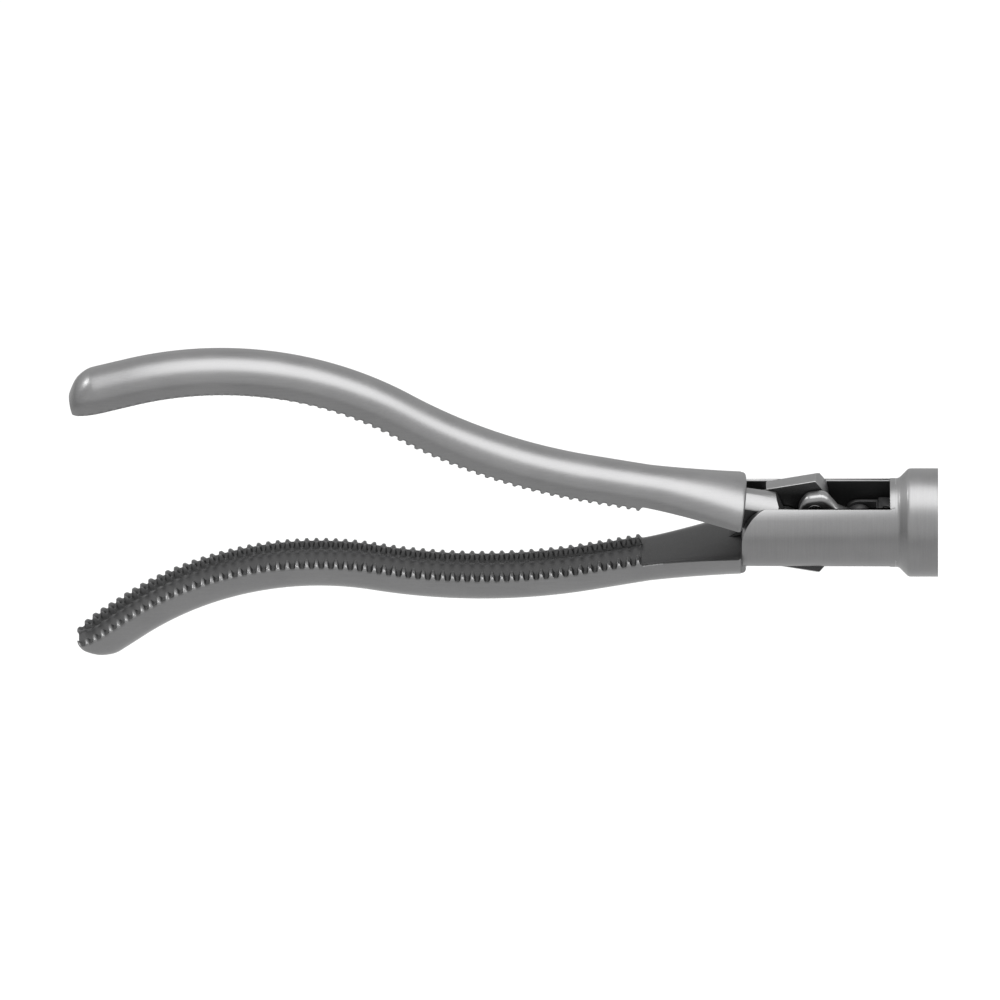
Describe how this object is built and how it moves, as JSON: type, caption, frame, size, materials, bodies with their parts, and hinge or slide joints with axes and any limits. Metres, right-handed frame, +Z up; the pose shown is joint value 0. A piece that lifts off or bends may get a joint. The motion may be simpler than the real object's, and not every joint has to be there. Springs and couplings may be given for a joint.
{
  "type": "laparoscopic grasper jaw assembly",
  "caption": "Working end of a laparoscopic grasper: long curved toothed jaws pivoting in a slotted barrel, driven by a sliding fork and links.",
  "frame": {"origin": "centre of the collar's rear face, on the barrel's axis, where the instrument's shaft carries on", "axes": "+X backwards along the barrel's axis towards the shaft, so the jaws point along -X; +Z up in the plane the jaws open in; +Y along the jaws' pivot pin"},
  "size_m": [0.0802, 0.01, 0.0327],
  "materials": {
    "satin_steel": "satin, bead-blasted and lightly polished stainless steel",
    "bright_steel": "ground bright stainless steel",
    "dark_steel": "dark treated stainless steel with a dry lubricant film",
    "spring_steel": "spring steel, as rolled",
    "bush_polymer": "natural bearing-grade polymer"
  },
  "bodies": {
    "housing": {"clevis_barrel": "satin_steel", "shaft_collar": "satin_steel", "collar_dowel": "bright_steel", "jaw_pivot_pin": "bright_steel", "rod_guide_bush": "bush_polymer", "bush_retaining_ring": "spring_steel"},
    "top_jaw": {"upper_jaw": "satin_steel", "upper_link_pin": "bright_steel"},
    "bottom_jaw": {"lower_jaw": "satin_steel", "lower_link_pin": "bright_steel"},
    "top_jaw_link": {"upper_link": "satin_steel"},
    "bottom_jaw_link": {"lower_link": "satin_steel"},
    "drive": {"rod_fork": "dark_steel", "fork_pin": "bright_steel", "push_rod": "bright_steel", "fork_lock_pin": "bright_steel"}
  },
  "joints": [
    {"name": "upper_jaw_pivot", "type": "hinge", "parent": "housing", "child": "top_jaw", "pos_m": [-0.0143, 0, 0], "axis": [0, 1, 0], "range_deg": [-10.7, 0]},
    {"name": "lower_jaw_pivot", "type": "hinge", "parent": "housing", "child": "bottom_jaw", "pos_m": [-0.0143, 0, 0], "axis": [0, 1, 0], "range_deg": [0, 10.7]},
    {"name": "rod_slide", "type": "slide", "parent": "housing", "child": "drive", "axis": [1, 0, 0], "range_m": [0, 0.000582]},
    {"name": "upper_link_pivot", "type": "hinge", "parent": "top_jaw", "child": "top_jaw_link", "pos_m": [-0.01136, 0, -0.00208], "axis": [0, 1, 0], "range_deg": [0, 18.61]},
    {"name": "lower_link_pivot", "type": "hinge", "parent": "bottom_jaw", "child": "bottom_jaw_link", "pos_m": [-0.01136, 0, 0.00208], "axis": [0, 1, 0], "range_deg": [-18.61, 0]}
  ],
  "couplings": [
    {"joint": "lower_jaw_pivot", "follows": "upper_jaw_pivot", "ratio": -1},
    {"joint": "rod_slide", "follows": "upper_jaw_pivot", "m_per_rad": -0.0031048},
    {"joint": "upper_link_pivot", "follows": "upper_jaw_pivot", "ratio": -1.7362},
    {"joint": "lower_link_pivot", "follows": "upper_jaw_pivot", "ratio": 1.7362}
  ]
}
